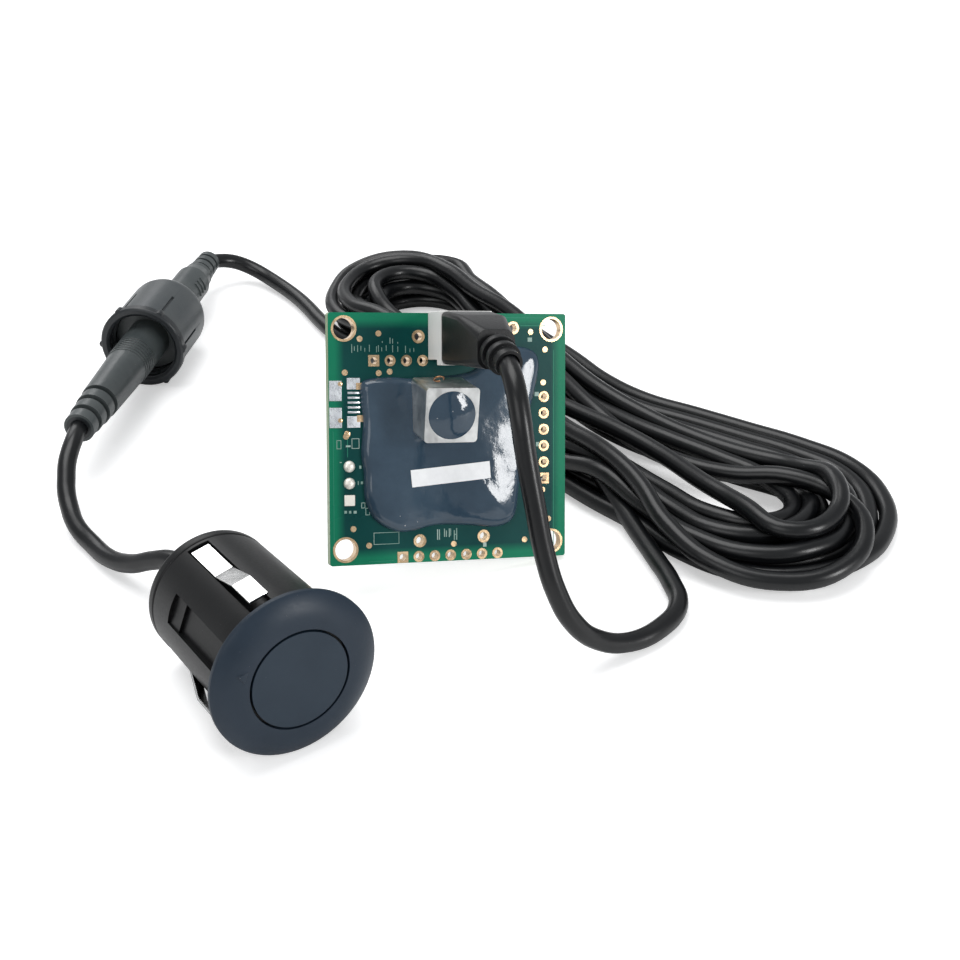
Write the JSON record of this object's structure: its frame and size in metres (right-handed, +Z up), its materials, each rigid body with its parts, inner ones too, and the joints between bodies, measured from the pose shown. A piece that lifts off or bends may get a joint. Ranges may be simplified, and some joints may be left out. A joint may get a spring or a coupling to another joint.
{
  "type": "ultrasonic sensor",
  "caption": "Flush-mount ultrasonic transducer with spring clips, waterproof in-line connector, extension cable in a hank and a potted driver board with a plug.",
  "frame": {"origin": "on the table, under the middle of the box round the transducer and the board, cable and connector left out", "axes": "+Z up from the table; +X to the right along the front, +Y away from the viewer along the longer side of that box"},
  "size_m": [0.1393, 0.1508, 0.0433],
  "materials": {
    "face_grey": "fine satin",
    "housing_black": "satin",
    "membrane_grey": "fine satin paint",
    "silicone_black": "satin",
    "piezo_ceramic": "fired ceramic with silvered faces",
    "damping_foam": "dull",
    "wire_red": "satin",
    "sealing_compound": "dull",
    "gland_rubber": "satin",
    "clip_steel": "rolled spring sheet",
    "connector_grey": "fine spark-eroded",
    "nut_grey": "fine spark-eroded",
    "contact_brass": "plated",
    "seal_red": "satin",
    "washer_white": "satin",
    "cable_black": "smooth vinyl",
    "plug_black": "satin",
    "tin": "tinned",
    "header_white": "satin",
    "board_green": "glossy solder mask",
    "pad_gold": "plated",
    "solder": "bright",
    "potting_resin": "glossy cast",
    "chip_black": "dull",
    "chip_ceramic": "dull",
    "can_metal": "frosted",
    "ferrite_black": "dull",
    "copper": "enamelled",
    "label_white": "paper"
  },
  "bodies": {
    "base": {"flange_ring": "face_grey", "barrel_housing": "housing_black", "membrane_cup": "membrane_grey", "isolation_ring": "silicone_black", "piezo_disc": "piezo_ceramic", "damping_pad": "damping_foam", "piezo_wires": "wire_red", "sealing_compound": "sealing_compound", "rear_cap": "housing_black", "lead_gland": "gland_rubber", "connector_front": "connector_grey", "contact_pins": "contact_brass", "seal_ring": "seal_red", "connector_rear": "connector_grey", "contact_sockets": "contact_brass", "sensor_lead": "cable_black", "extension_run": "cable_black", "extension_hank": "cable_black", "extension_loop": "cable_black", "cable_plug": "plug_black", "plug_contacts": "tin", "header_shell": "header_white", "header_pins": "contact_brass", "circuit_board": "board_green", "pad_plating": "pad_gold", "footprint_pads": "tin", "solder_fills": "solder", "potting_resin": "potting_resin", "controller_chip": "chip_black", "chip_parts": "chip_ceramic", "transformer_can": "can_metal", "transformer_base": "chip_black", "ferrite_core": "ferrite_black", "winding": "copper", "can_fill": "potting_resin", "board_label": "label_white"},
    "clip_1": {"spring_clip_1": "clip_steel"},
    "clip_2": {"spring_clip_2": "clip_steel"},
    "clip_3": {"spring_clip_3": "clip_steel"},
    "nut_carrier": {"slip_washer": "washer_white"},
    "nut": {"coupling_nut": "nut_grey"}
  },
  "joints": [
    {"name": "clip_1_flex", "type": "hinge", "parent": "base", "child": "clip_1", "pos_m": [-0.02166, -0.00932, 0.0188], "axis": [0.8034, 0.5643, 0.1899], "range_deg": [0, 2.5], "stiffness_Nm_per_rad": 0.5},
    {"name": "clip_2_flex", "type": "hinge", "parent": "base", "child": "clip_2", "pos_m": [-0.02626, -0.01397, 0.00569], "axis": [-0.425, -0.1819, 0.8868], "range_deg": [0, 2.5], "stiffness_Nm_per_rad": 0.5},
    {"name": "clip_3_flex", "type": "hinge", "parent": "base", "child": "clip_3", "pos_m": [-0.01266, -0.00478, 0.00584], "axis": [-0.3144, -0.3178, -0.8945], "range_deg": [0, 2.5], "stiffness_Nm_per_rad": 0.5},
    {"name": "nut_slide", "type": "slide", "parent": "base", "child": "nut_carrier", "axis": [0.1442, 0.9888, -0.039], "range_m": [0, 0.0045]},
    {"name": "nut_spin", "type": "hinge", "parent": "nut_carrier", "child": "nut", "pos_m": [-0.04626, 0.07036, 0.00796], "axis": [0.1442, 0.9888, -0.039], "range_deg": [0, 1080]}
  ],
  "couplings": [
    {"joint": "nut_spin", "follows": "nut_slide", "rad_per_m": 4188.8}
  ]
}
